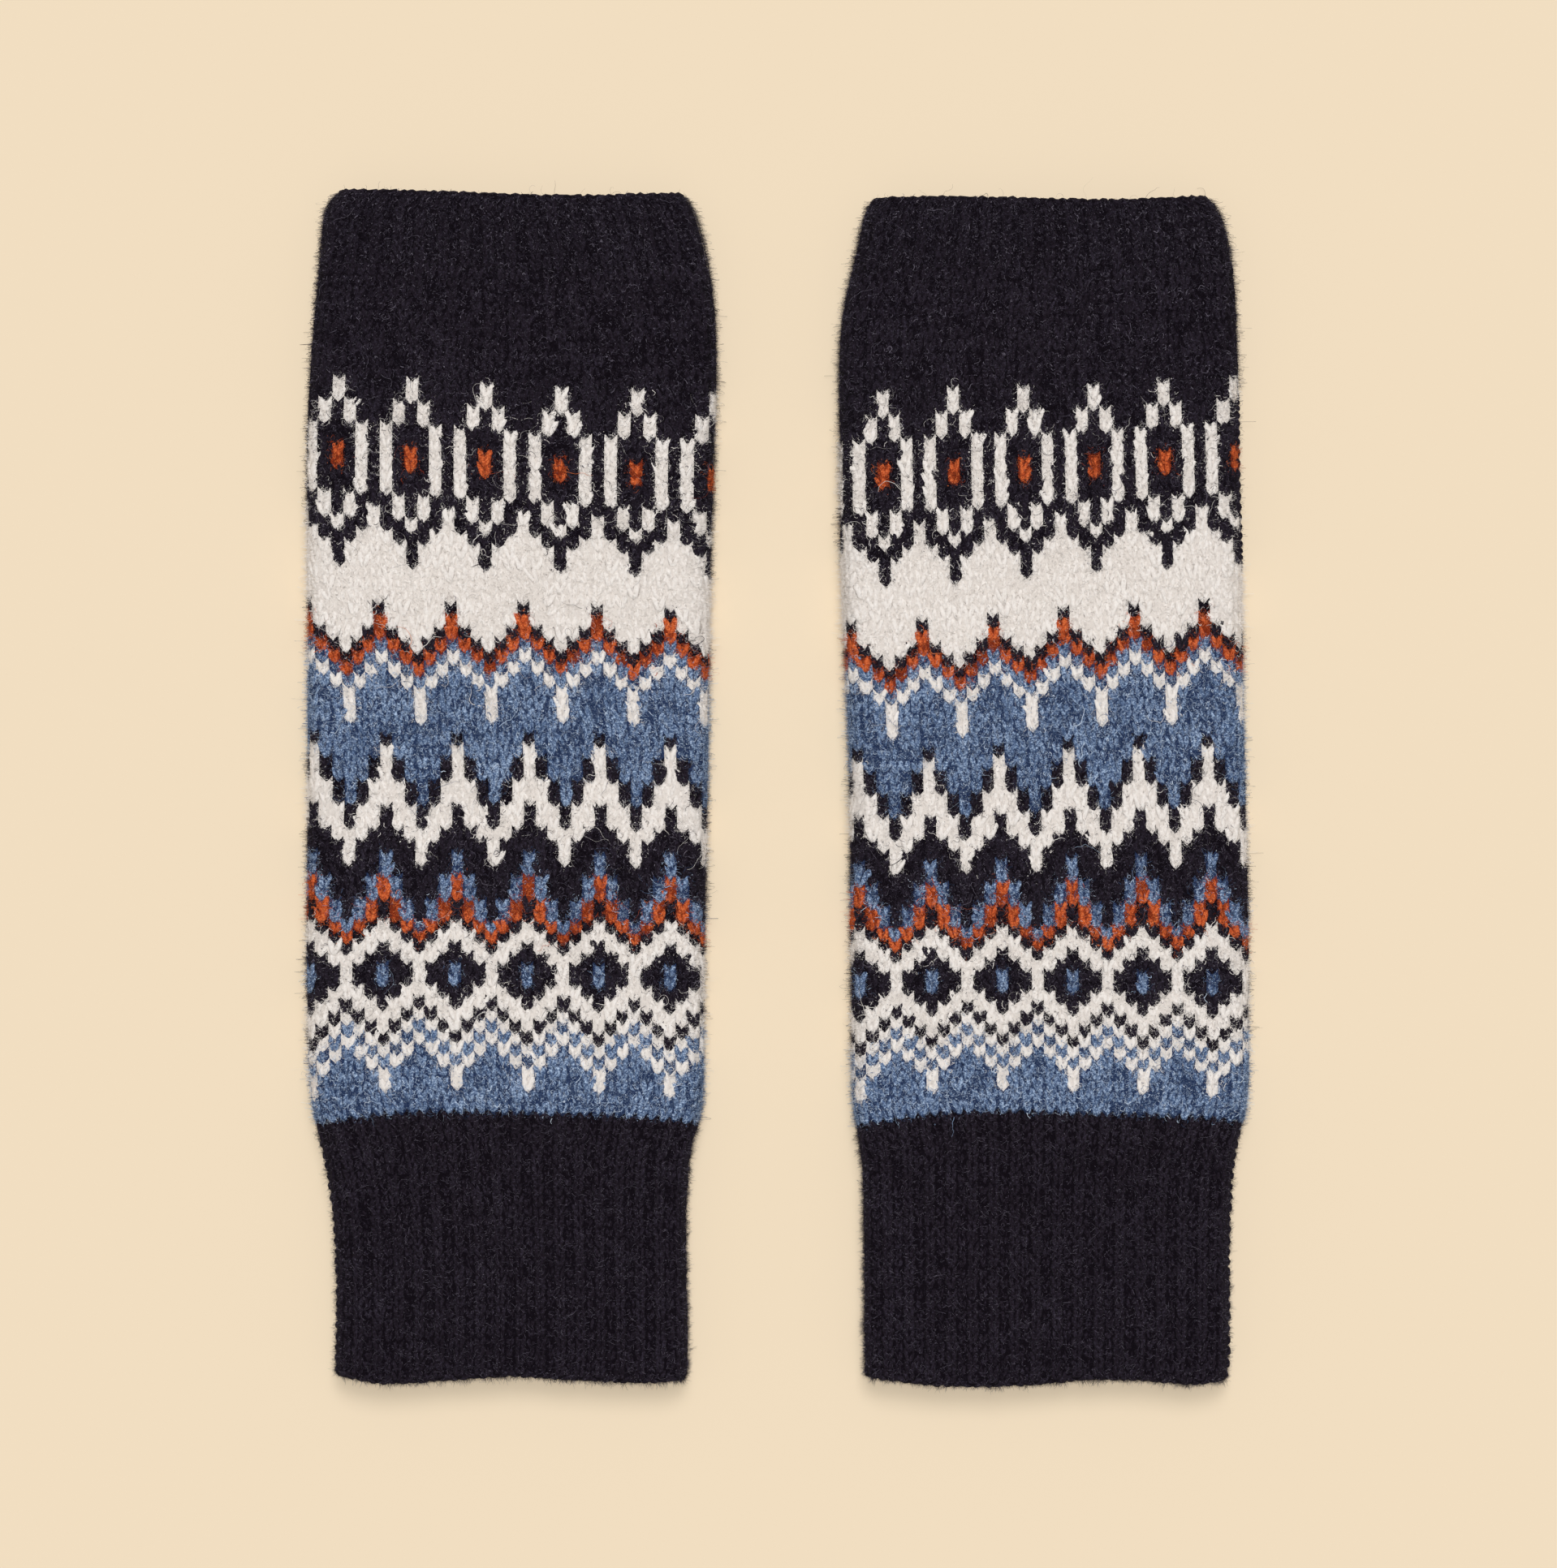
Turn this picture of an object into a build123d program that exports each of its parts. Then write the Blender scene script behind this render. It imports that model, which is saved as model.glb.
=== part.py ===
from build123d import *
import os

# A pair of fingerless knitted hand warmers, lying flat side by side.
#
# Frame: +Z up, the gloves rest on Z = 0, +Y points towards the fingers, +X from the left glove to the
# right one. The origin is the middle of the pair's outline, on the surface it lies on. Millimetres.
#
# Each glove is a flattened knitted tube, open at both ends. It is knitted as one panel in four sections
# (hand rib, navy yoke, jacquard body, arm cuff), folded along its inner edge and closed along its outer
# edge by a side seam, which stops for the thumb opening.

# Knitted wall and the tube's height as it lies
WALL = 2.6
HEIGHT = 11.0
MIDDLE = HEIGHT / 2
SIDE_RADIUS = 5.0
CAVITY_RADIUS = 2.6

# Rows where one section ends and the next starts, from the arm end to the hand end
ARM_END = -148.0
CUFF_TOP = -81.0
JACQUARD_TOP = 99.0
YOKE_TOP = 128.5
HAND_END = 148.0
RIGHT_HAND_END = 146.5

# Side seam and thumb opening, in the middle of the outer edge's height
SEAM_HEIGHT = 2.2
THUMB_LOW = 52.0
THUMB_HIGH = 96.0
THUMB_GAP = 4.8
THUMB_RIM = 1.0
THUMB_RIM_DEPTH = 4.2

# How far the cutting tools run past what they cut, and a width that spans both gloves
OVERRUN = 4.0
SPAN = 400.0

# Edges of each glove seen from above: height along the glove, left edge, right edge
LEFT_EDGES = [
    (HAND_END, -109.8, -23.2),
    (144.0, -112.8, -20.8),
    (138.0, -113.9, -18.9),
    (121.0, -115.4, -15.9),
    (92.0, -117.3, -15.4),
    (50.0, -117.5, -16.7),
    (10.0, -117.4, -17.2),
    (-30.0, -117.6, -18.0),
    (-70.0, -117.1, -18.4),
    (-80.0, -116.2, -18.8),
    (-91.0, -113.8, -21.1),
    (-105.0, -111.4, -22.4),
    (-120.0, -110.4, -22.4),
    (ARM_END, -110.7, -22.4),
]
RIGHT_EDGES = [
    (RIGHT_HAND_END, 23.2, 107.4),
    (142.5, 21.2, 110.1),
    (137.0, 20.0, 111.8),
    (121.0, 16.3, 113.9),
    (92.0, 14.9, 114.7),
    (50.0, 15.4, 115.6),
    (10.0, 17.2, 116.2),
    (-30.0, 17.7, 117.1),
    (-70.0, 18.0, 117.3),
    (-80.0, 18.4, 116.8),
    (-91.0, 19.9, 114.4),
    (-105.0, 20.6, 112.9),
    (-120.0, 20.8, 112.6),
    (ARM_END, 21.0, 112.0),
]


def plan(edges, inset, overrun):
    """The outline seen from above, drawn in by inset at the sides and lengthened by overrun at the ends."""
    rows = [(y, x_left + inset, x_right - inset) for y, x_left, x_right in edges]
    rows[0] = (rows[0][0] + overrun, *rows[0][1:])
    rows[-1] = (rows[-1][0] - overrun, *rows[-1][1:])
    left = [(x_left, y) for y, x_left, x_right in rows]
    right = [(x_right, y) for y, x_left, x_right in rows]
    with BuildSketch() as outline:
        with BuildLine():
            Spline(left)
            Spline(right)
            Line(left[0], right[0])
            Line(left[-1], right[-1])
        make_face()
    return outline.sketch


def glove_tube(edges):
    """The whole knitted tube of one glove, hollow and open at both ends."""
    with BuildPart() as cavity:
        with BuildSketch(Plane.XY.offset(WALL)):
            add(plan(edges, WALL, OVERRUN))
        extrude(amount=HEIGHT - 2 * WALL)
        fillet(cavity.edges().filter_by(GeomType.BSPLINE), CAVITY_RADIUS)
    with BuildPart() as tube:
        with BuildSketch():
            add(plan(edges, 0, 0))
        extrude(amount=HEIGHT)
        fillet(tube.edges().filter_by(GeomType.BSPLINE), SIDE_RADIUS)
        add(cavity.part, mode=Mode.SUBTRACT)
    return tube.part


def side_plane(edges, outer):
    """The plane that faces the outer edge at the thumb opening: outer is -1 for left, 1 for right."""
    rows = [row for row in edges if THUMB_LOW <= row[0] <= THUMB_HIGH]
    edge_x = rows[0][1] if outer < 0 else rows[0][2]
    middle_y = (THUMB_LOW + THUMB_HIGH) / 2
    return Plane(origin=(edge_x, middle_y, MIDDLE), x_dir=(0, 1, 0), z_dir=(outer, 0, 0))


def thumb_cutter(edges, outer, margin):
    """A rounded bar through the side wall, as large as the thumb opening plus a margin all round."""
    with BuildPart() as cutter:
        with BuildSketch(side_plane(edges, outer).offset(OVERRUN)):
            SlotOverall(THUMB_HIGH - THUMB_LOW + 2 * margin, THUMB_GAP + 2 * margin)
        extrude(amount=-OVERRUN - THUMB_RIM_DEPTH)
    return cutter.part


def seam_cutter(edges, outer, low, high):
    """A flat bar along the outer edge, as high as the side seam, between two rows."""
    inner_x = sum(edges[0][1:]) / 2
    outer_x = max(abs(x) for row in edges for x in row[1:]) * outer + OVERRUN * outer
    with BuildPart() as cutter:
        with BuildSketch(Plane.XY.offset(MIDDLE - SEAM_HEIGHT / 2)):
            with Locations(((inner_x + outer_x) / 2, (low + high) / 2)):
                Rectangle(abs(outer_x - inner_x), high - low)
        extrude(amount=SEAM_HEIGHT)
    return cutter.part


def rows_cutter(low, high):
    """Everything between two rows, for both gloves."""
    with BuildPart() as cutter:
        with BuildSketch(Plane.XY.offset(-OVERRUN)):
            with Locations((0, (low + high) / 2)):
                Rectangle(SPAN, high - low)
        extrude(amount=HEIGHT + 2 * OVERRUN)
    return cutter.part


def write(piece, node):
    """Label a finished piece and write it as one STEP file."""
    piece.part.label = node
    export_step(piece.part, f"parts/{node}.step")


def build_glove(side, edges, outer):
    """All pieces of one glove."""
    tube = glove_tube(edges)
    thumb = thumb_cutter(edges, outer, THUMB_RIM)
    seam_line = seam_cutter(edges, outer, ARM_END - OVERRUN, HAND_END + OVERRUN)

    sections = {
        "hand_rib": (YOKE_TOP, HAND_END + OVERRUN),
        "navy_yoke": (JACQUARD_TOP, YOKE_TOP),
        "jacquard_body": (CUFF_TOP, JACQUARD_TOP),
        "arm_cuff": (ARM_END - OVERRUN, CUFF_TOP),
    }
    for name, (low, high) in sections.items():
        with BuildPart() as section:
            add(tube)
            add(rows_cutter(low, high), mode=Mode.INTERSECT)
            add(seam_line, mode=Mode.SUBTRACT)
            if name == "jacquard_body":
                add(thumb, mode=Mode.SUBTRACT)
        write(section, f"{side}_{name}")

    seams = {
        "hand_seam": (THUMB_HIGH + THUMB_RIM - THUMB_GAP, HAND_END + OVERRUN),
        "arm_seam": (CUFF_TOP, THUMB_LOW - THUMB_RIM + THUMB_GAP),
        "cuff_seam": (ARM_END - OVERRUN, CUFF_TOP),
    }
    for name, (low, high) in seams.items():
        with BuildPart() as seam:
            add(tube)
            add(seam_cutter(edges, outer, low, high), mode=Mode.INTERSECT)
            add(thumb, mode=Mode.SUBTRACT)
        write(seam, f"{side}_{name}")

    with BuildPart() as thumb_edge:
        add(tube)
        add(thumb, mode=Mode.INTERSECT)
        add(thumb_cutter(edges, outer, 0), mode=Mode.SUBTRACT)
    write(thumb_edge, f"{side}_thumb_edge")


os.makedirs("parts", exist_ok=True)
build_glove("left", LEFT_EDGES, -1)
build_glove("right", RIGHT_EDGES, 1)
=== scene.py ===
"""Looks for a pair of fingerless knitted hand warmers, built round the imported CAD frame. Metres.

Each glove is a flattened knitted tube. A place on it is (column, y, out): column counts knitted columns
round the tube from the middle of its upper face, y runs along the glove, and out is the height above
the ground fabric. The tube's outline is read from the CAD solids, and every stitch is real geometry.
"""

import math

import bpy
import numpy as np
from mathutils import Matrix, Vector


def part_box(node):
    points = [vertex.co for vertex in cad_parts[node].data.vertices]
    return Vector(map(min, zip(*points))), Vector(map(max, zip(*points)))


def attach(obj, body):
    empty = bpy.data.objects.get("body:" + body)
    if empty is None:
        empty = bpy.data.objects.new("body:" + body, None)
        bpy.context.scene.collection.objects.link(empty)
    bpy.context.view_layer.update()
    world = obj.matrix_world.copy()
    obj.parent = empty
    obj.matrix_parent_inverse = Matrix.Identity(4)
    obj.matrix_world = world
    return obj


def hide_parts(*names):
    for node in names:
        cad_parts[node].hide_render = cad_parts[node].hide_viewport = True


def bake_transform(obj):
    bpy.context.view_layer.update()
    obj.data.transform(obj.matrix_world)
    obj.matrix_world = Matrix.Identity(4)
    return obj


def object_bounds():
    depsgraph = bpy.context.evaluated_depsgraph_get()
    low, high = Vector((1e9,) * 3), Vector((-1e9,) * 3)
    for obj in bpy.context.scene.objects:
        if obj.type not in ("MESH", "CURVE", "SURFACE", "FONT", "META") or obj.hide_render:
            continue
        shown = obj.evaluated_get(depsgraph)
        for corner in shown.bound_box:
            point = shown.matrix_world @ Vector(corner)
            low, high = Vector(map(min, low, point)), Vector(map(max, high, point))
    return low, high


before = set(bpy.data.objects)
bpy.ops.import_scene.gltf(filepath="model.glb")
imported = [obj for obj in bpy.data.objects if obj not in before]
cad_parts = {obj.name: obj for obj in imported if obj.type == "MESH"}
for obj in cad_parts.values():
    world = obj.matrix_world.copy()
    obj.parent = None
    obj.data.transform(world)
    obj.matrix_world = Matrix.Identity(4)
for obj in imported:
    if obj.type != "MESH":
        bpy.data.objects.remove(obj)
cad_low, cad_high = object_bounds()

MM = 0.001
rng = np.random.default_rng(7)

# ------------------------------------------------------------------ camera
VIEW_HEIGHT = 0.3903            # that the picture's long side shows, half way up the gloves
CAMERA_HEIGHT = 1.6             # above that
CAMERA_Y = 0.3 * MM
SENSOR_WIDTH = 36.0


def make_camera():
    data = bpy.data.cameras.new("camera")
    data.type = "PERSP"
    data.sensor_width = SENSOR_WIDTH
    data.lens = SENSOR_WIDTH * CAMERA_HEIGHT / VIEW_HEIGHT
    camera = bpy.data.objects.new("camera", data)
    camera.location = (0, CAMERA_Y, CAMERA_HEIGHT + cad_high.z / 2)
    bpy.context.scene.collection.objects.link(camera)
    bpy.context.scene.camera = camera


make_camera()

# ------------------------------------------------------------------ knit structure
COLUMNS = 72                    # stitches round each glove
COLUMN_WIDTH = 3.0 * MM         # nominal width that stitch shapes are drawn at
ROW_HEIGHT = 2.86 * MM          # nominal height that stitch shapes are drawn at
FIRST_COLUMN = -1.4             # where column 0, the middle of an oval, lies from the upper face's middle
STITCH_HEIGHT = 1.45 * MM       # from the ground fabric to the top of the yarn
WALL = 1.7 * MM                 # ground fabric
ROWS = {"hand_rib": 8, "navy_yoke": 10, "jacquard_body": 63, "arm_cuff": 26}

# The pattern, from the hand end to the arm end: how many rows, then the yarn of the half repeat's four
# columns. N navy, W off-white, R rust, B denim blue. The repeat mirrors them: 0 1 2 3 2 1.
CHART = (
    (2, "WNNN"), (2, "NWNN"), (2, "NNWN"), (2, "RNWN"), (2, "NNWN"), (1, "NWNN"), (1, "NWNW"),
    (1, "WNNW"), (1, "NNWW"), (2, "NWWW"), (3, "WWWW"),
    (1, "WWWN"), (1, "WWWR"), (1, "WWNR"), (1, "WNRB"), (1, "NRBW"), (1, "RBWB"), (1, "BWBB"),
    (3, "WBBB"), (1, "BBBB"),
    (1, "BBBN"), (1, "BBBW"), (2, "BBNW"), (2, "BNWW"), (2, "NWWN"), (1, "WWNN"), (1, "WNNN"),
    (1, "WNNB"), (1, "NNNB"), (2, "NNBR"), (2, "NBRN"), (1, "BRNW"), (1, "RNWW"), (1, "NWWN"),
    (1, "WWNN"), (2, "WNNB"), (1, "WWNN"), (1, "NWWN"), (1, "WNWW"), (1, "BWNW"), (1, "WBWN"),
    (1, "BWBW"), (1, "BBWB"), (2, "BBBW"), (2, "BBBB"),
)
PATTERN = [yarns for count, yarns in CHART for _ in range(count)]
HALF_REPEAT = (0, 1, 2, 3, 2, 1)

# Stitches and the fabric behind them
FELTING = 0.1 * MM              # how far washing and brushing has pushed the yarn's surface about
RIB_DEPTH = 0.4 * MM            # how far the furrows lie below the ribs
GROUND_RISE = 0.94 * MM         # felted ground between the stitches
STITCH_TIP = 0.2                # of a row, that a stitch's lower tip reaches into the row below
STITCH_EARS = 0.35              # of a row, that its two upper ends reach into the row above
RIB_UNEVENNESS = 0.5            # of the ribs' stitches, against the plain band's
PATTERN_UNEVENNESS = 1.15       # of the jacquard body's, against the same

# Open ends, seams and the thumb opening
END_INSET = 0.2 * MM            # of the ground fabric, from the tube's open ends
HEM_RADIUS = 0.95 * MM
HEM_REACH = 30 * MM             # how far a hem's waves reach into the glove
THUMB_GAP = 1.0                 # half the opening's width, in columns
THUMB_EDGE = 1.05               # the same, to the middle of the bound edge
THUMB_STRAND = 0.62 * MM        # radius of each of the bound edge's two strands
THUMB_TWISTS = 26

# The cuff bends between these two places along the glove
# Two places along the glove at the cuff; FOLD_START is read, FOLD_END is not, and nothing bends the cuff
FOLD_START, FOLD_END = -0.085, -0.103

# How far the rows bend towards the arm end at the sides, where the narrower cuff pulls them in
CUFF_SAG = (
    (0.148, 0.0), (-0.030, 0.0), (-0.075, 3.6 * MM), (-0.088, 3.2 * MM), (-0.125, 0.0), (-0.148, 0.0),
)

# Brushed fibres: how many leave a stitch, and their length
SHORT_FIBRES = 110
SHORT_NAVY_LENGTH = 0.55 * MM
SHORT_PATTERN_LENGTH = 0.6 * MM
LONG_FIBRES = 2
LONG_LENGTH = 2.6 * MM
CUFF_FIBRES = ((20, 0.6 * MM), (9, 1.4 * MM))
FIBRE_POINTS = 8
FIBRE_ROOT = 1.0 * MM           # above the ground fabric
FIBRE_RADIUS = 0.025 * MM
FIBRE_LIFT = 0.3 * MM           # how far a fibre usually stands off the knitting
FIBRE_END = 0.6 * MM            # from the hand hem, where the last fibres root
ROOT_COLUMN_SPREAD = 0.34       # of a column, how far fibres root from their stitch's middle
ROOT_ROW = 0.6                  # of a row, how far they root above their stitch's tip
ROOT_ROW_SPREAD = 0.4
SIDE_REACH = 2.5                # columns about the glove's side, where fibres stand out further
UNDERSIDE_SHARE = 0.3           # of the fibres, on the face that the glove lies on


# ------------------------------------------------------------------ colours
def srgb(red, green, blue):
    """A display colour of 0 to 255 as linear RGBA."""
    linear = [((c / 255 + 0.055) / 1.055) ** 2.4 if c > 10 else c / 255 / 12.92 for c in (red, green, blue)]
    return (*linear, 1.0)


# Each yarn: its name, shadow tone, main tone, highlight tone and loose fibre tone. The shadow tone is the
# heather's
# darkest tone, and also painted shade: the ground fabric between the stitches is coloured with it.
YARNS = {
    "N": ("navy", srgb(16, 11, 18), srgb(32, 26, 34), srgb(56, 51, 64), srgb(126, 120, 134)),
    "W": ("offwhite", srgb(224, 217, 211), srgb(233, 227, 222), srgb(240, 236, 233), srgb(238, 233, 229)),
    "R": ("rust", srgb(124, 46, 24), srgb(194, 86, 46), srgb(230, 128, 74), srgb(222, 118, 70)),
    "B": ("denim", srgb(40, 54, 86), srgb(87, 109, 144), srgb(182, 202, 228), srgb(226, 238, 252)),
}
TONE_MIDDLE = 0.58              # of the heather noise, where a yarn shows its main tone
TONE_SPREAD = {"N": 0.2, "W": 0.2, "R": 0.16, "B": 0.16}
FLOOR_COLOUR = srgb(233, 215, 188)
SKY_COLOUR = (1, 0.95, 0.86, 1)


# ------------------------------------------------------------------ light and floor
def sun(name, direction, spread, strength):
    """A distant lamp: its light falls along direction, softened by spread degrees."""
    data = bpy.data.lights.new(name, "SUN")
    data.energy = strength
    data.angle = math.radians(spread)
    lamp = bpy.data.objects.new(name, data)
    lamp.rotation_mode = "QUATERNION"
    lamp.rotation_quaternion = Vector(direction).to_track_quat("-Z", "Y")
    bpy.context.scene.collection.objects.link(lamp)


def make_lights():
    sun("overhead", (0.0, -0.08, -1.0), spread=10, strength=2.0)
    sun("window", (-0.05, -0.55, -1.0), spread=28, strength=1.0)
    world = bpy.data.worlds.new("studio")
    world.use_nodes = True
    background = world.node_tree.nodes["Background"]
    background.inputs["Color"].default_value = SKY_COLOUR
    background.inputs["Strength"].default_value = 0.17
    bpy.context.scene.world = world
    bpy.context.scene.view_settings.view_transform = "Standard"


def make_floor():
    """A plain floor, a hair below the gloves so that the two surfaces never meet."""
    half = 4.0
    corners = [(-half, -half, 0), (half, -half, 0), (half, half, 0), (-half, half, 0)]
    mesh = bpy.data.meshes.new("floor")
    mesh.from_pydata(corners, [], [(0, 1, 2, 3)])
    floor = bpy.data.objects.new("floor", mesh)
    bpy.context.scene.collection.objects.link(floor)
    material, shader = new_material("pale_floor")
    shader.inputs["Base Color"].default_value = FLOOR_COLOUR
    shader.inputs["Roughness"].default_value = 0.95
    shader.inputs["Specular IOR Level"].default_value = 0.1
    mesh.materials.append(material)
    floor.location.z = -0.2 * MM


# ------------------------------------------------------------------ materials
def new_material(name):
    material = bpy.data.materials.new(name)
    material.use_nodes = True
    return material, material.node_tree.nodes["Principled BSDF"]


def node(tree, kind, **inputs):
    """A new node with its input values or links set by name."""
    made = tree.nodes.new(kind)
    for name, value in inputs.items():
        socket = made.inputs[name.replace("_", " ")]
        if isinstance(value, bpy.types.NodeSocket):
            tree.links.new(value, socket)
        else:
            socket.default_value = value
    return made


def noise(tree, size, detail=2.0, roughness=0.6):
    """Noise whose features are about size metres across."""
    where = node(tree, "ShaderNodeTexCoord").outputs["Object"]
    settings = {"Scale": 1 / size, "Detail": detail, "Roughness": roughness}
    return node(tree, "ShaderNodeTexNoise", Vector=where, **settings)


def ramp(tree, factor, stops):
    """The colour at factor between (position, colour) stops."""
    made = node(tree, "ShaderNodeValToRGB", Fac=factor)
    elements = made.color_ramp.elements
    while len(elements) < len(stops):
        elements.new(0.5)
    for element, (position, colour) in zip(elements, stops):
        element.position = position
        element.color = colour
    return made.outputs["Color"]


def wool_surface(tree, shader, bump_height):
    """Dull brushed wool: no gloss, a faint sheen and a fibrous bump."""
    shader.inputs["Roughness"].default_value = 1.0
    shader.inputs["Specular IOR Level"].default_value = 0.04
    shader.inputs["Sheen Weight"].default_value = 0.02
    shader.inputs["Sheen Roughness"].default_value = 0.6
    fibres = noise(tree, 0.28 * MM, 3.0)
    bump = node(tree, "ShaderNodeBump", Height=fibres.outputs["Fac"], Strength=0.6, Distance=bump_height)
    tree.links.new(bump.outputs["Normal"], shader.inputs["Normal"])


def yarn_material(letter):
    """Stitch yarn: fine heather of three tones, with slow drift along the knitting."""
    name, dark, main, light, _ = YARNS[letter]
    material, shader = new_material(f"{name}_yarn")
    tree = material.node_tree
    heather = noise(tree, 0.5 * MM, 3.0, 0.75)
    drift = noise(tree, 9 * MM, 1.0)
    mixed = node(tree, "ShaderNodeMath")
    mixed.operation = "MULTIPLY_ADD"
    tree.links.new(drift.outputs["Fac"], mixed.inputs[0])
    mixed.inputs[1].default_value = 0.16
    tree.links.new(heather.outputs["Fac"], mixed.inputs[2])
    spread = TONE_SPREAD[letter]
    stops = ((TONE_MIDDLE - spread, dark), (TONE_MIDDLE, main), (TONE_MIDDLE + spread, light))
    colour = ramp(tree, mixed.outputs["Value"], stops)
    tree.links.new(colour, shader.inputs["Base Color"])
    wool_surface(tree, shader, 0.25 * MM)
    return material


def fibre_material(letter):
    """Loose fibres brushed out of a yarn, each a little lighter or darker than the next."""
    name, dark, main, light, loose = YARNS[letter]
    material, shader = new_material(f"{name}_fibres")
    tree = material.node_tree
    strand = node(tree, "ShaderNodeHairInfo")
    start = dark if letter in "BR" else main
    stops = ((0.0, start), (0.5, main), (0.8, light), (1.0, loose))
    colour = ramp(tree, strand.outputs["Random"], stops)
    tree.links.new(colour, shader.inputs["Base Color"])
    shader.inputs["Roughness"].default_value = 0.9
    shader.inputs["Specular IOR Level"].default_value = 0.05
    return material


def ground_material():
    """Ground fabric: each yarn's shadow tone as painted shade between the stitches, times a fine random tone.
    """
    material, shader = new_material("ground_fabric")
    tree = material.node_tree
    # The yarn layer holds painted shade: each yarn's shadow tone, for the darkness between the stitches
    yarn = node(tree, "ShaderNodeVertexColor")
    yarn.layer_name = "yarn"
    fibres = noise(tree, 0.5 * MM, 3.0, 0.7)
    tone = ramp(tree, fibres.outputs["Fac"], ((0.3, (0.94, 0.94, 0.94, 1)), (0.7, (1, 1, 1, 1))))
    blend = node(tree, "ShaderNodeMix")
    blend.data_type = "RGBA"
    blend.blend_type = "MULTIPLY"
    blend.inputs["Factor"].default_value = 1.0
    # Sockets 6 and 7 are the two colours, and output 2 is their product
    tree.links.new(yarn.outputs["Color"], blend.inputs[6])
    tree.links.new(tone, blend.inputs[7])
    tree.links.new(blend.outputs[2], shader.inputs["Base Color"])
    wool_surface(tree, shader, 0.3 * MM)
    return material


def make_materials():
    """The ground fabric, each yarn by its letter, and each yarn's fibres."""
    made = {"ground": ground_material()}
    for letter in YARNS:
        made[letter] = yarn_material(letter)
        made[f"{letter} fibres"] = fibre_material(letter)
    return made


# ------------------------------------------------------------------ the shape of one glove
def wrapped(column):
    """The same column counted from minus half way round to half way round."""
    return (column + COLUMNS / 2) % COLUMNS - COLUMNS / 2


def interpolate(profile, y):
    """A value along the glove from (y, value) points, in order of falling y."""
    ys, values = zip(*profile)
    return np.interp(-y, [-v for v in ys], values)


def waves(x, y, across, along):
    """Low waves over the fabric: across and along are each a wave's (scale, phase)."""
    return np.sin(x / across[0] + across[1]) * np.sin(y / along[0] + along[1])


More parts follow.
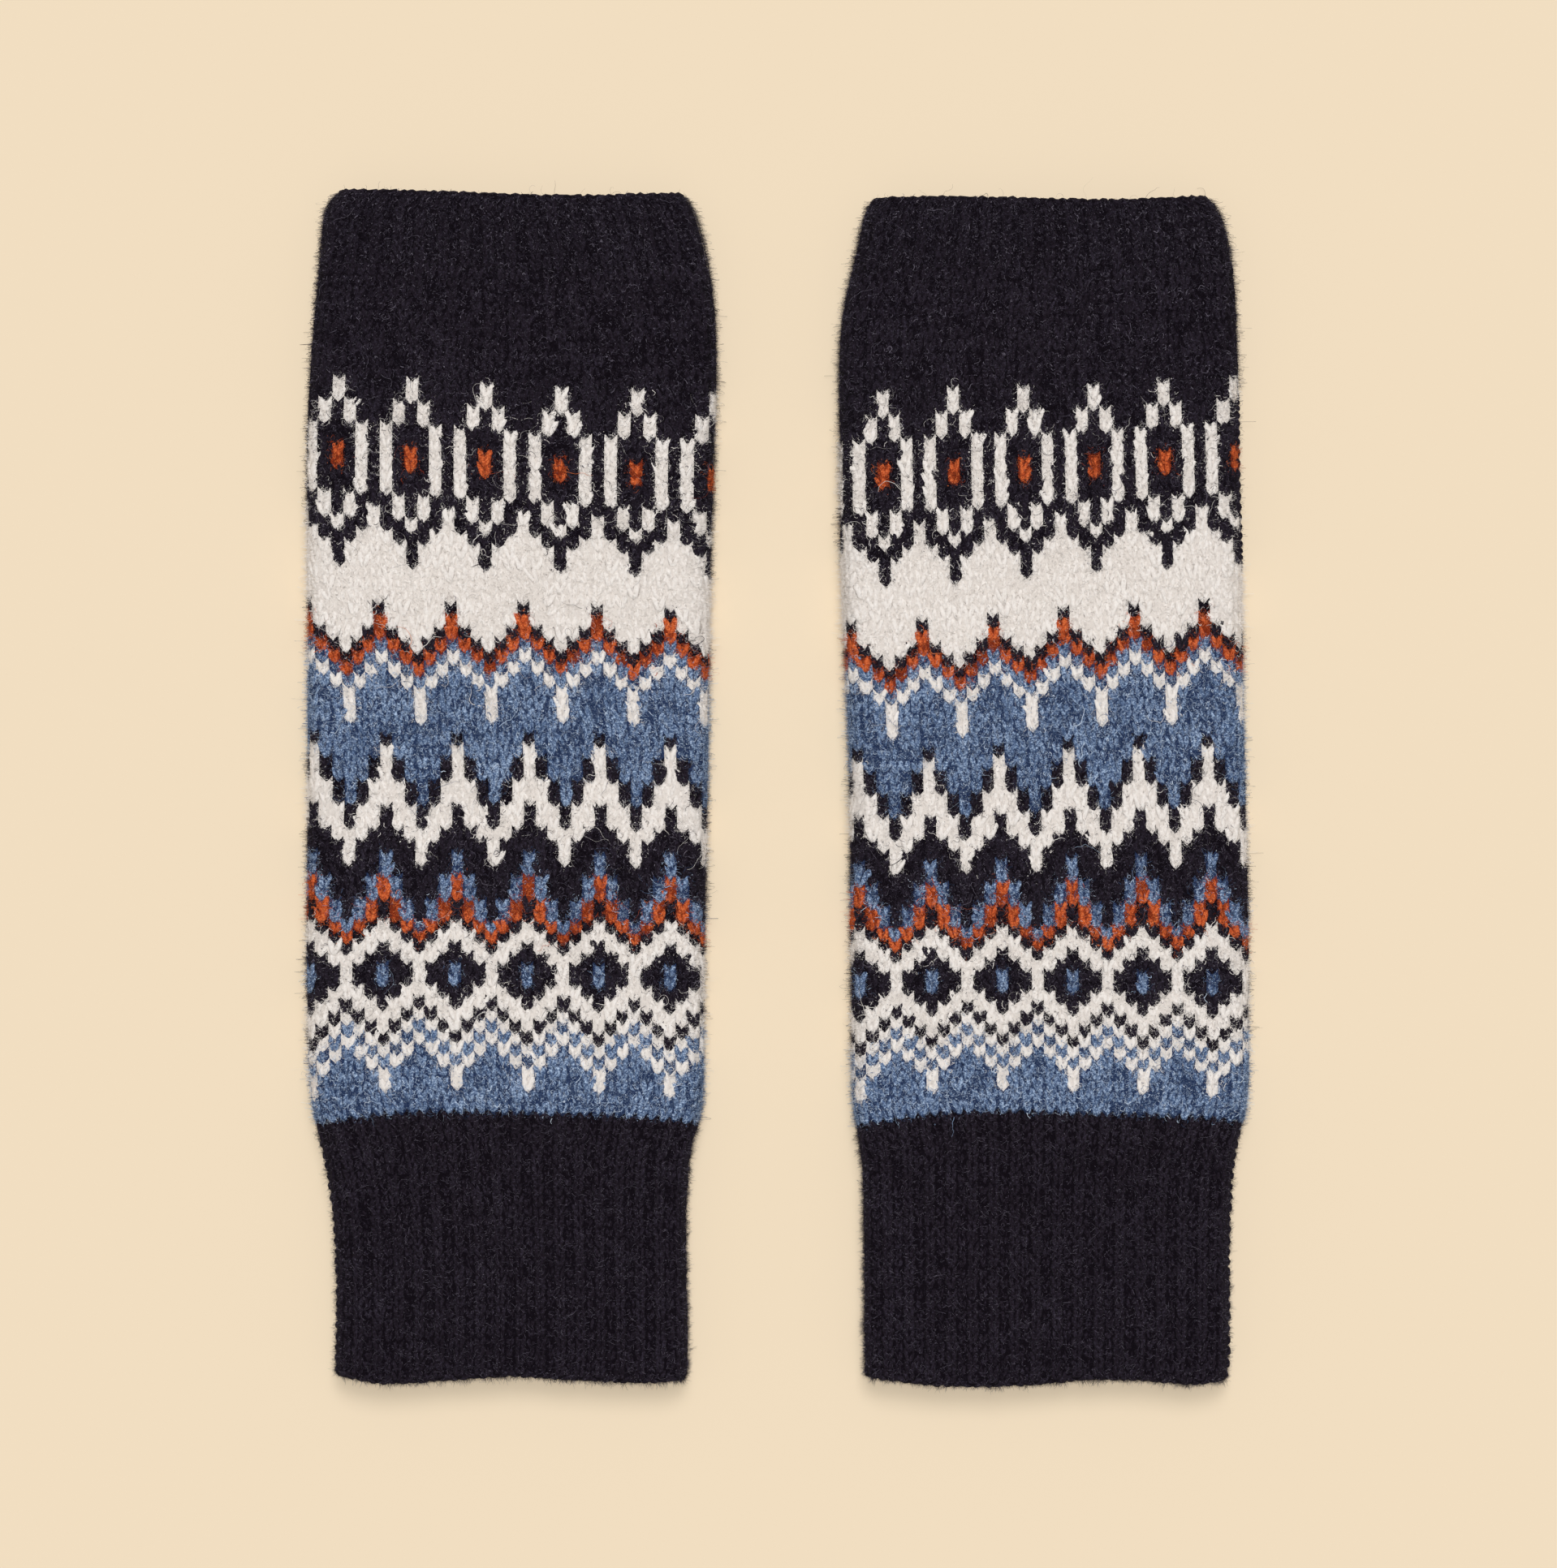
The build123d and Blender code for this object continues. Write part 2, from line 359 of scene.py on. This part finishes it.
class Glove:
    """The tube of one glove.

    tilt, drift and stretch say how its rows and columns are pulled askew as it lies, and slack how far
    the rows sit towards the arm in mm, all from (y, amount) points. hems says how far the hand and the
    arm hem wander, from (-1 to 1 across, mm) points.
    """

    PROBE_HEIGHT = 2.0 * MM     # below the seam and the thumb opening
    PROBES = 150
    CAD_SIDE_RADIUS = 5.0 * MM

    def __init__(self, side, outer, tilt, slack, drift, stretch, hems):
        self.side, self.outer = side, outer
        self.tilt, self.slack, self.drift, self.stretch, self.hems = tilt, slack, drift, stretch, hems
        self.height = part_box(f"{side}_jacquard_body")[1].z
        self.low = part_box(f"{side}_arm_cuff")[0].y
        self.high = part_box(f"{side}_hand_rib")[1].y
        self.thumb = [corner.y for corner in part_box(f"{side}_thumb_edge")]
        self.rows = np.linspace(self.low + END_INSET, self.high - END_INSET, self.PROBES)
        self.left = np.array([self.probe(y, 1) for y in self.rows])
        self.right = np.array([self.probe(y, -1) for y in self.rows])

    def probe(self, y, direction):
        """Where the CAD solids' edge is, seen from above, coming from the left (1) or the right (-1)."""
        rounding = self.CAD_SIDE_RADIUS
        drop = rounding - self.PROBE_HEIGHT
        inset = rounding - math.sqrt(rounding**2 - drop**2)
        start = (-0.5 * direction, y, self.PROBE_HEIGHT)
        hits = []
        for name in ROWS:
            found, place, _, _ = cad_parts[f"{self.side}_{name}"].ray_cast(start, (direction, 0, 0))
            if found:
                hits.append(place.x)
        hit = min(hits) if direction > 0 else max(hits)
        return hit - inset * direction

    def section(self, y):
        """Middle, half flat width and side radius of the ground fabric's cross-section."""
        left = np.interp(y, self.rows, self.left) + STITCH_HEIGHT
        right = np.interp(y, self.rows, self.right) - STITCH_HEIGHT
        radius = self.height / 2 - STITCH_HEIGHT
        return (left + right) / 2, (right - left) / 2 - radius, radius

    def place(self, column, y, out):
        """Points for arrays of column, y and out."""
        column = wrapped(self.laid_column(column, y))
        y = y + self.row_shift(column, y)
        middle, flat, radius = self.section(y)
        arc = np.abs(column) * self.column_pitch(y)
        angle = np.clip((arc - flat) / radius, 0, np.pi)
        along_face = np.where(angle < np.pi, np.minimum(arc, flat), 2 * flat + np.pi * radius - arc)
        reach = radius + out
        x = middle + np.sign(column) * (along_face + reach * np.sin(angle))
        y = y + 0.45 * MM * waves(x, y, (11 * MM, 0.7), (31 * MM, 0.9))
        y = y + self.hem_shift((x - middle) / (flat + radius), y)
        z = self.height / 2 + reach * np.cos(angle)
        lift = 0.35 * MM * waves(x, y, (13 * MM, 1.0), (21 * MM, 0.4))
        return np.stack([x, y, z + lift * z / self.height], axis=-1)

    def hem_shift(self, across, y):
        """How far the open ends' hems wander along the glove, fading out over HEM_REACH."""
        near_hand = np.clip(1 - (self.high - y) / HEM_REACH, 0, 1)
        near_arm = np.clip(1 - (y - self.low) / HEM_REACH, 0, 1)
        hand, arm = (np.interp(across, *zip(*hem)) for hem in self.hems)
        return (hand * near_hand + arm * near_arm) * MM

    def column_pitch(self, y):
        """The width of one column."""
        _, flat, radius = self.section(y)
        return (4 * flat + 2 * np.pi * radius) / COLUMNS

    def laid_column(self, column, y):
        """The column, after the drift round the tube and the upper face's stretch at the lower one's cost."""
        column = wrapped(column)
        quarter = COLUMNS / 4
        turns = (-2 * quarter, -quarter, quarter, 2 * quarter)
        from_face = np.interp(column, turns, (0, -quarter, quarter, 0))
        face = 0.5 + 0.5 * np.cos(2 * np.pi * column / COLUMNS)
        return column + interpolate(self.drift, y) * face + interpolate(self.stretch, y) * from_face

    def row_shift(self, column, y):
        """How far the place in a row is pulled along the glove, from how far it is from the middle."""
        half = COLUMNS / 4 * self.column_pitch(y)
        turns = (-COLUMNS / 2, -COLUMNS / 4, COLUMNS / 4, COLUMNS / 2)
        across = np.interp(column, turns, (0, -1, 1, 0))
        sag = interpolate(CUFF_SAG, y) * across**2
        return interpolate(self.tilt, y) * across * half - sag - interpolate(self.slack, y) * MM


# ------------------------------------------------------------------ yarn geometry
SIDES = 6                       # of a yarn's cross-section
CAP = ((0, 1, 2, 3), (0, 3, 4, 5))
LEG_FACES = 4 * SIDES + 2 * len(CAP)
STITCH_FACES = 2 * LEG_FACES


def yarn_piece(points, radii, flatness=0.8):
    """A stretch of yarn round a centre line of (across, along, out) points: corners and quads."""
    points = np.array(points, float)
    tangent = np.gradient(points, axis=0)
    tangent /= np.linalg.norm(tangent, axis=1)[:, None]
    side = np.cross(tangent, (0.0, 0.0, 1.0))
    side /= np.maximum(np.linalg.norm(side, axis=1), 1e-9)[:, None]
    up = np.cross(side, tangent)
    angles = np.arange(SIDES) * 2 * np.pi / SIDES
    rings = [
        centre + radius * (np.outer(np.cos(angles), w) + flatness * np.outer(np.sin(angles), u))
        for centre, radius, w, u in zip(points, radii, side, up)
    ]
    quads = []
    for ring in range(len(points) - 1):
        for k in range(SIDES):
            a, b = ring * SIDES + k, ring * SIDES + (k + 1) % SIDES
            quads.append((a, a + SIDES, b + SIDES, b))
    last = (len(points) - 1) * SIDES
    quads += CAP
    quads += [tuple(last + k for k in reversed(cap)) for cap in CAP]
    return np.concatenate(rings), np.array(quads)


def joined(pieces):
    """Several (corners, quads) as one."""
    corners, quads, count = [], [], 0
    for piece_corners, piece_quads in pieces:
        corners.append(piece_corners)
        quads.append(piece_quads + count)
        count += len(piece_corners)
    return np.concatenate(corners), np.concatenate(quads)


def knit_stitch():
    """The V of one knit stitch: two legs that meet at the bottom and go under the next row at the top."""
    radii = [0.42 * MM, 0.64 * MM, 0.76 * MM, 0.72 * MM, 0.40 * MM]
    legs = []
    for hand in (-1, 1):
        line = [
            (0.04 * hand, -0.12, 0.62),
            (0.12 * hand, 0.16, 0.74),
            (0.22 * hand, 0.52, 0.76),
            (0.33 * hand, 0.92, 0.70),
            (0.43 * hand, 1.30, 0.52),
        ]
        line = [(across * COLUMN_WIDTH, along * ROW_HEIGHT, out * MM) for across, along, out in line]
        legs.append(yarn_piece(line, radii, flatness=0.5))
    return joined(legs)


def seam_turn():
    """One turn of the seam's yarn, drawn aslant from one edge of the fabric to the other."""
    line = [(-1.5, 0.0, 0.4), (-0.8, 0.5, 0.9), (0.0, 1.0, 1.0), (0.8, 1.5, 0.9), (1.5, 2.0, 0.4)]
    radii = [0.4 * MM, 0.5 * MM, 0.52 * MM, 0.5 * MM, 0.4 * MM]
    return yarn_piece(np.array(line) * MM, radii)


def rolled_edge(glove, end, towards):
    """The fabric's edge at an open end of the tube, turned over: towards is 1 at the hand, -1 at the arm."""
    turns = np.linspace(0, COLUMNS, 4 * COLUMNS + 1)
    y = end - towards * (HEM_RADIUS + 0.15 * MM * np.cos(2 * np.pi * turns))
    line = glove.place(FIRST_COLUMN + turns, y, np.full(len(turns), -0.1 * MM))
    points, quads = yarn_piece(line, np.full(len(turns), HEM_RADIUS), flatness=1.0)
    return points + rng.normal(0, FELTING, points.shape), quads


def knitted(glove, template, columns, ys, tall=1.0, uneven=1.0):
    """The template at every (column, y), each stitch a little different from the next."""
    corners, quads = template
    count = len(columns)
    size = 1 + uneven * rng.normal(0, 0.06, (count, 1))
    lean = uneven * rng.normal(0, 0.12, (count, 1))
    shift = uneven * rng.normal(0, 0.05, (count, 1))
    lift = uneven * rng.normal(0, 0.05 * MM, (count, 1))
    across = corners[:, 0] / COLUMN_WIDTH * size
    along = corners[:, 1] * tall * size
    rough = rng.normal(0, FELTING, (3, count, len(corners)))
    column = columns[:, None] + across + shift + (lean * along + rough[0]) / COLUMN_WIDTH
    y = ys[:, None] + along + rng.normal(0, 0.1 * MM, (count, 1)) + rough[1]
    y = np.clip(y, glove.low + HEM_RADIUS, glove.high - HEM_RADIUS)
    out = corners[:, 2] * size + lift + rough[2]
    points = glove.place(column, y, out).reshape(-1, 3)
    faces = (quads[None] + (np.arange(count) * len(corners))[:, None, None]).reshape(-1, 4)
    return points, faces


def new_piece(name, points, quads, materials):
    """A smooth-shaded mesh object from arrays of corners and quads."""
    mesh = bpy.data.meshes.new(name)
    mesh.vertices.add(len(points))
    mesh.vertices.foreach_set("co", np.ascontiguousarray(points, np.float32).ravel())
    mesh.loops.add(quads.size)
    mesh.loops.foreach_set("vertex_index", np.ascontiguousarray(quads, np.int32).ravel())
    mesh.polygons.add(len(quads))
    mesh.polygons.foreach_set("loop_start", np.arange(0, quads.size, 4, dtype=np.int32))
    mesh.polygons.foreach_set("use_smooth", np.ones(len(quads), bool))
    mesh.update(calc_edges=True)
    for material in materials:
        mesh.materials.append(material)
    piece = bpy.data.objects.new(name, mesh)
    bpy.context.scene.collection.objects.link(piece)
    return piece


# ------------------------------------------------------------------ loose fibres
def brushed_fibres(glove, name, letter, columns, ys, per_stitch, length):
    """Curly fibres brushed out of the stitches at each (column, y), lying on the knitting every way round."""
    pick = np.repeat(np.arange(len(columns)), per_stitch)
    column = columns[pick] + rng.normal(0, ROOT_COLUMN_SPREAD, len(pick))
    y = ys[pick] + rng.normal(ROOT_ROW, ROOT_ROW_SPREAD, len(pick)) * ROW_HEIGHT
    upper = np.abs(wrapped(column)) < 0.3 * COLUMNS
    kept = (upper | (rng.random(len(pick)) < UNDERSIDE_SHARE)) & (y < glove.high - FIBRE_END)
    column, y = column[kept], y[kept]
    count = len(column)

    step = length / FIBRE_POINTS * np.minimum(rng.lognormal(0, 0.7, (count, 1)), 3.5)
    curl = rng.normal(0, 0.4, (count, 1)) * np.arange(FIBRE_POINTS)
    kinks = np.cumsum(rng.normal(0, 0.5, (count, FIBRE_POINTS)), axis=1)
    heading = rng.uniform(0, 2 * np.pi, (count, 1)) + curl + kinks
    across = np.cumsum(np.cos(heading), axis=1) * step
    along = np.cumsum(np.sin(heading), axis=1) * step

    # Fibres at the glove's sides stand out a little further and are thinner
    from_side = np.abs(np.abs(wrapped(column)) - COLUMNS / 4)
    near_side = np.exp(-((from_side / SIDE_REACH) ** 2))[:, None]
    height = rng.exponential(FIBRE_LIFT, (count, 1)) * (1 + 0.6 * near_side)
    progress = np.linspace(0, 1, FIBRE_POINTS)
    lift = height * np.sin(progress * rng.uniform(1.5, 3.1, (count, 1)))
    thickness = np.clip(rng.lognormal(0, 0.7, (count, 1)), 0.4, 4.0 - 3.0 * near_side) * FIBRE_RADIUS
    radii = np.linspace(1.0, 0.4, FIBRE_POINTS) * thickness
    points = glove.place(column[:, None] + across / COLUMN_WIDTH, y[:, None] + along, FIBRE_ROOT + lift)

    data = bpy.data.hair_curves.new(name)
    data.add_curves([FIBRE_POINTS] * count)
    data.attributes["position"].data.foreach_set("vector", points.astype(np.float32).ravel())
    radius = data.attributes.new("radius", "FLOAT", "POINT")
    radius.data.foreach_set("value", radii.astype(np.float32).ravel())
    data.materials.append(MATERIALS[f"{letter} fibres"])
    fibres = bpy.data.objects.new(name, data)
    bpy.context.scene.collection.objects.link(fibres)
    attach(fibres, f"{glove.side}_glove")


def brush(piece, per_stitch, length, seed):
    """Short particle-hair fibres that stand out of a piece."""
    piece.modifiers.new("fibres", "PARTICLE_SYSTEM")
    system = piece.particle_systems[-1]
    system.seed = seed
    fibres = system.settings
    fibres.type = "HAIR"
    fibres.count = int(len(piece.data.polygons) / STITCH_FACES * per_stitch)
    fibres.hair_length = length
    fibres.hair_step = 3
    fibres.render_step = 3
    fibres.emit_from = "FACE"
    fibres.use_emit_random = True
    fibres.use_even_distribution = True
    fibres.child_type = "SIMPLE"
    fibres.rendered_child_count = 4
    fibres.child_radius = 0.8 * MM
    fibres.roughness_endpoint = 0.8 * length
    fibres.roughness_end_shape = 1.0
    fibres.roughness_1 = 0.25 * MM
    fibres.roughness_1_size = 0.8 * MM
    fibres.radius_scale = 2 * FIBRE_RADIUS
    fibres.root_radius = 1.0
    fibres.tip_radius = 0.5
    fibres.material = len(piece.data.materials)


# ------------------------------------------------------------------ pieces of a glove
def section_rows(glove, name):
    """The lower tip of each row of a section, from the hand end down, and its row height."""
    low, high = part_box(f"{glove.side}_{name}")
    pitch = (high.y - low.y) / ROWS[name]
    return high.y - pitch * (1 + np.arange(ROWS[name])), pitch


def yarn_at(row, column):
    """The yarn letter of one stitch of the jacquard body."""
    return PATTERN[row][HALF_REPEAT[column % len(HALF_REPEAT)]]


def in_thumb_opening(glove, column, y):
    """True for stitches that the thumb opening takes away."""
    low, high = glove.thumb
    distance = abs(wrapped(column) - glove.outer * COLUMNS / 4)
    return distance < THUMB_GAP and low < y < high - ROW_HEIGHT


def bake_modifiers(piece):
    """Makes the shape that the piece's modifiers give it its own mesh."""
    bpy.context.view_layer.update()
    evaluated = piece.evaluated_get(bpy.context.evaluated_depsgraph_get())
    mesh = bpy.data.meshes.new_from_object(evaluated)
    piece.modifiers.clear()
    old = piece.data
    piece.data = mesh
    mesh.name = piece.name
    bpy.data.meshes.remove(old)


def ground_fabric(glove, name):
    """The knitted wall of one section as a closed sheet, coloured with painted shade: the shadow tone of the
    yarn that each stitch shows.

    Its grid has two steps to a stitch both ways, and every other step is pulled down, so that each
    stitch's patch of colour is a V.
    """
    low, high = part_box(f"{glove.side}_{name}")
    pitch = (high.y - low.y) / ROWS[name]
    edges = np.linspace(low.y, high.y, 2 * ROWS[name] + 1)
    steps = 2 * COLUMNS
    columns = FIRST_COLUMN - 0.5 + np.arange(steps) / 2
    grid_column, grid_y = np.meshgrid(columns, edges)
    at_stitch_tip = np.arange(steps) % 2 == 1
    grid_y = grid_y + np.where(at_stitch_tip, -STITCH_TIP, STITCH_EARS) * pitch
    grid_y = np.clip(grid_y, glove.low + END_INSET, glove.high - END_INSET)
    ridge = RIB_DEPTH / 2 if name in ("hand_rib", "arm_cuff") else 0.0
    out = GROUND_RISE + ridge * (np.cos(np.pi * (grid_column - FIRST_COLUMN)) - 1)
    points = glove.place(grid_column, grid_y, out).reshape(-1, 3)

    patterned = name == "jacquard_body"
    quads, tones = [], []
    for j in range(len(edges) - 1):
        row = ROWS[name] - 1 - j // 2
        below, above = j * steps, (j + 1) * steps
        for i in range(steps):
            if patterned and in_thumb_opening(glove, columns[i] + 0.25, edges[j]):
                continue
            letter = yarn_at(row, i // 2) if patterned else "N"
            after = (i + 1) % steps
            quads.append((below + i, below + after, above + after, above + i))
            # Painted shade: each cell takes its yarn's shadow tone, for the darkness seen between the
            # stitches
            tones.append(YARNS[letter][1])
    piece = new_piece(f"{glove.side}_{name}_fabric", points, np.array(quads), [MATERIALS["ground"]])
    # This colour layer is painted shade between the stitches, one shadow tone per stitch's yarn
    colours = piece.data.color_attributes.new("yarn", "FLOAT_COLOR", "CORNER")
    colours.data.foreach_set("color", np.repeat(np.array(tones, np.float32), 4, axis=0).ravel())
    wall = piece.modifiers.new("wall", "SOLIDIFY")
    wall.thickness = WALL
    wall.offset = -1
    bake_modifiers(piece)
    return piece


def plain_stitches(glove, name):
    """Every stitch of a section in one navy yarn, ribbed or plain."""
    rows, pitch = section_rows(glove, name)
    tall = pitch / ROW_HEIGHT
    all_columns = FIRST_COLUMN + np.arange(COLUMNS)
    if name == "navy_yoke":
        columns, ys = np.meshgrid(all_columns, rows)
        parts = [knitted(glove, knit_stitch(), columns.ravel(), ys.ravel(), tall)]
    else:
        columns, ys = np.meshgrid(all_columns[::2], rows)
        rib, faces = knit_stitch()
        furrow = rib - (0, 0, RIB_DEPTH)
        end, towards = (glove.high, 1) if name == "hand_rib" else (glove.low, -1)
        parts = [
            knitted(glove, (rib, faces), columns.ravel(), ys.ravel(), tall, RIB_UNEVENNESS),
            knitted(glove, (furrow, faces), columns.ravel() + 1, ys.ravel(), tall, RIB_UNEVENNESS),
            rolled_edge(glove, end, towards),
        ]
    if name != "arm_cuff":
        columns, ys = (grid.ravel() for grid in np.meshgrid(all_columns, rows))
        fibres = f"{glove.side}_{name}"
        brushed_fibres(glove, f"{fibres}_fibres", "N", columns, ys, SHORT_FIBRES, SHORT_NAVY_LENGTH)
        brushed_fibres(glove, f"{fibres}_long_fibres", "N", columns, ys, LONG_FIBRES, LONG_LENGTH)
    points, quads = joined(parts)
    return new_piece(f"{glove.side}_{name}_stitches", points, quads, [MATERIALS["N"], MATERIALS["N fibres"]])


def pattern_stitches(glove, letter):
    """Every stitch of the jacquard body in one yarn."""
    rows, _ = section_rows(glove, "jacquard_body")
    places = [
        (FIRST_COLUMN + column, y)
        for row, y in enumerate(rows)
        for column in range(COLUMNS)
        if yarn_at(row, column) == letter and not in_thumb_opening(glove, FIRST_COLUMN + column, y)
    ]
    columns, ys = np.array(places).T
    points, quads = knitted(glove, knit_stitch(), columns, ys, uneven=PATTERN_UNEVENNESS)
    yarn = f"{glove.side}_body_{YARNS[letter][0]}"
    brushed_fibres(glove, f"{yarn}_fibres", letter, columns, ys, SHORT_FIBRES, SHORT_PATTERN_LENGTH)
    brushed_fibres(glove, f"{yarn}_long_fibres", letter, columns, ys, LONG_FIBRES, LONG_LENGTH)
    return new_piece(f"{yarn}_stitches", points, quads, [MATERIALS[letter], MATERIALS[f"{letter} fibres"]])


def sew_seam(glove, name, move):
    """The seam down the outer edge of a section, one turn of yarn to each row."""
    low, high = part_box(f"{glove.side}_{name}")
    ys = np.arange(low.y + 0.5 * MM, high.y - 2.2 * MM, ROW_HEIGHT)
    columns = np.full(len(ys), glove.outer * COLUMNS / 4)
    points, quads = knitted(glove, seam_turn(), columns, ys)
    seam = new_piece(f"{glove.side}_{name}_yarn", points, quads, [MATERIALS["N"]])
    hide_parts(f"{glove.side}_{name}")
    move(glove, seam)


def bind_thumb_edge(glove):
    """Two plied strands of yarn bound round the thumb opening."""
    low, high = glove.thumb
    turns = np.linspace(0, 2 * np.pi, 241)
    half_length = (high - low) / 2 - 0.8 * MM
    strands = []
    for phase in (0, np.pi):
        twist = THUMB_TWISTS * turns + phase
        column = glove.outer * COLUMNS / 4 + THUMB_EDGE * np.sin(turns) + 0.14 * np.cos(twist)
        y = (low + high) / 2 + half_length * np.cos(turns) + 0.4 * MM * np.cos(twist)
        out = 0.7 * MM + 0.4 * MM * np.sin(twist)
        line = glove.place(column, y, out)
        strands.append(yarn_piece(line, np.full(len(turns), THUMB_STRAND), flatness=1.0))
    points, quads = joined(strands)
    edge = new_piece(f"{glove.side}_thumb_edge_yarn", points, quads, [MATERIALS["N"]])
    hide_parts(f"{glove.side}_thumb_edge")
    ride_glove(glove, edge)


def ride_glove(glove, piece):
    """The piece moves with the glove."""
    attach(piece, f"{glove.side}_glove")


def fold_with_cuff(glove, piece):
    """Bakes the piece's transform into its mesh; nothing bends the piece where the cuff would fold up."""
    x = float(glove.section(FOLD_START)[0])
    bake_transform(piece)


def finish_section(glove, name, fabric, stitches):
    """Hides a section's CAD part, attaches its pieces to their body (the cuff's only have their transform
    baked) and brushes the cuff.
    """
    low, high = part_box(f"{glove.side}_{name}")
    around = float(COLUMNS * glove.column_pitch((low.y + high.y) / 2))
    move = fold_with_cuff if name == "arm_cuff" else ride_glove
    for piece in (fabric, *stitches):
        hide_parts(f"{glove.side}_{name}")
        move(glove, piece)
    if name == "arm_cuff":
        for seed, (per_stitch, length) in enumerate(CUFF_FIBRES, start=1):
            brush(stitches[0], per_stitch, length, seed)


def build_glove(glove):
    """All pieces of one glove."""
    sew_seam(glove, "hand_seam", ride_glove)
    sew_seam(glove, "arm_seam", ride_glove)
    sew_seam(glove, "cuff_seam", fold_with_cuff)
    bind_thumb_edge(glove)
    navy_sections = {"hand_rib": "navy_rib_knit", "navy_yoke": "navy_plain_knit", "arm_cuff": "navy_rib_knit"}
    for name, slot in navy_sections.items():
        fabric = ground_fabric(glove, name)
        finish_section(glove, name, fabric, [plain_stitches(glove, name)])
    fabric = ground_fabric(glove, "jacquard_body")
    stitches = [pattern_stitches(glove, letter) for letter in YARNS]
    finish_section(glove, "jacquard_body", fabric, stitches)


# ------------------------------------------------------------------ the scene
make_lights()
make_floor()
MATERIALS = make_materials()

LEFT = Glove(
    "left",
    outer=-1,
    tilt=((0.148, 0.0), (0.110, -0.035), (0.080, -0.070), (0.035, -0.012), (-0.148, 0.0)),
    slack=(
        (0.148, 0.0), (0.045, 0.0), (0.025, 0.5), (0.005, 0.8), (-0.027, 2.0), (-0.045, 0.3), (-0.07, 0.0),
    ),
    drift=((0.148, -0.7), (0.085, -0.7), (0.045, -0.35), (0.0, 0.4), (-0.045, 0.3), (-0.148, 0.3)),
    stretch=(
        (0.148, 0.03), (0.11, 0.08), (0.06, 0.08), (0.02, 0.034), (-0.04, 0.06), (-0.075, 0.06),
        (-0.09, 0.0), (-0.148, 0.0),
    ),
    hems=(
        ((-1, 0.0), (-0.5, -0.6), (0, -0.9), (0.5, -1.3), (1, -1.1)),
        ((-1, 1.3), (-0.75, -0.5), (-0.3, 0.4), (0, 1.0), (0.35, 0.0), (0.75, -0.3), (1, 0.3)),
    ),
)
RIGHT = Glove(
    "right",
    outer=1,
    tilt=((0.148, 0.0), (0.085, 0.050), (0.038, 0.070), (0.005, 0.045), (-0.045, 0.0), (-0.148, 0.0)),
    slack=(
        (0.148, 0.0), (0.11, 0.0), (0.08, 0.5), (0.045, 1.6), (0.01, 2.6), (-0.027, 3.1), (-0.047, 2.0),
        (-0.07, 0.3), (-0.081, 0.0),
    ),
    drift=((0.148, 0.0), (0.085, 0.0), (-0.02, 0.3), (-0.148, 0.3)),
    stretch=((0.148, 0.03), (-0.075, 0.034), (-0.09, 0.0), (-0.148, 0.0)),
    hems=(
        ((-1, -0.3), (0, -0.6), (0.5, -0.8), (1, -0.4)),
        (
            (-1, 0.7), (-0.7, -0.7), (-0.4, -1.2), (-0.1, -1.1),
            (0.2, -0.1), (0.5, 0.1), (0.8, -0.8), (1, 0.2),
        ),
    ),
)
for one_glove in (LEFT, RIGHT):
    build_glove(one_glove)
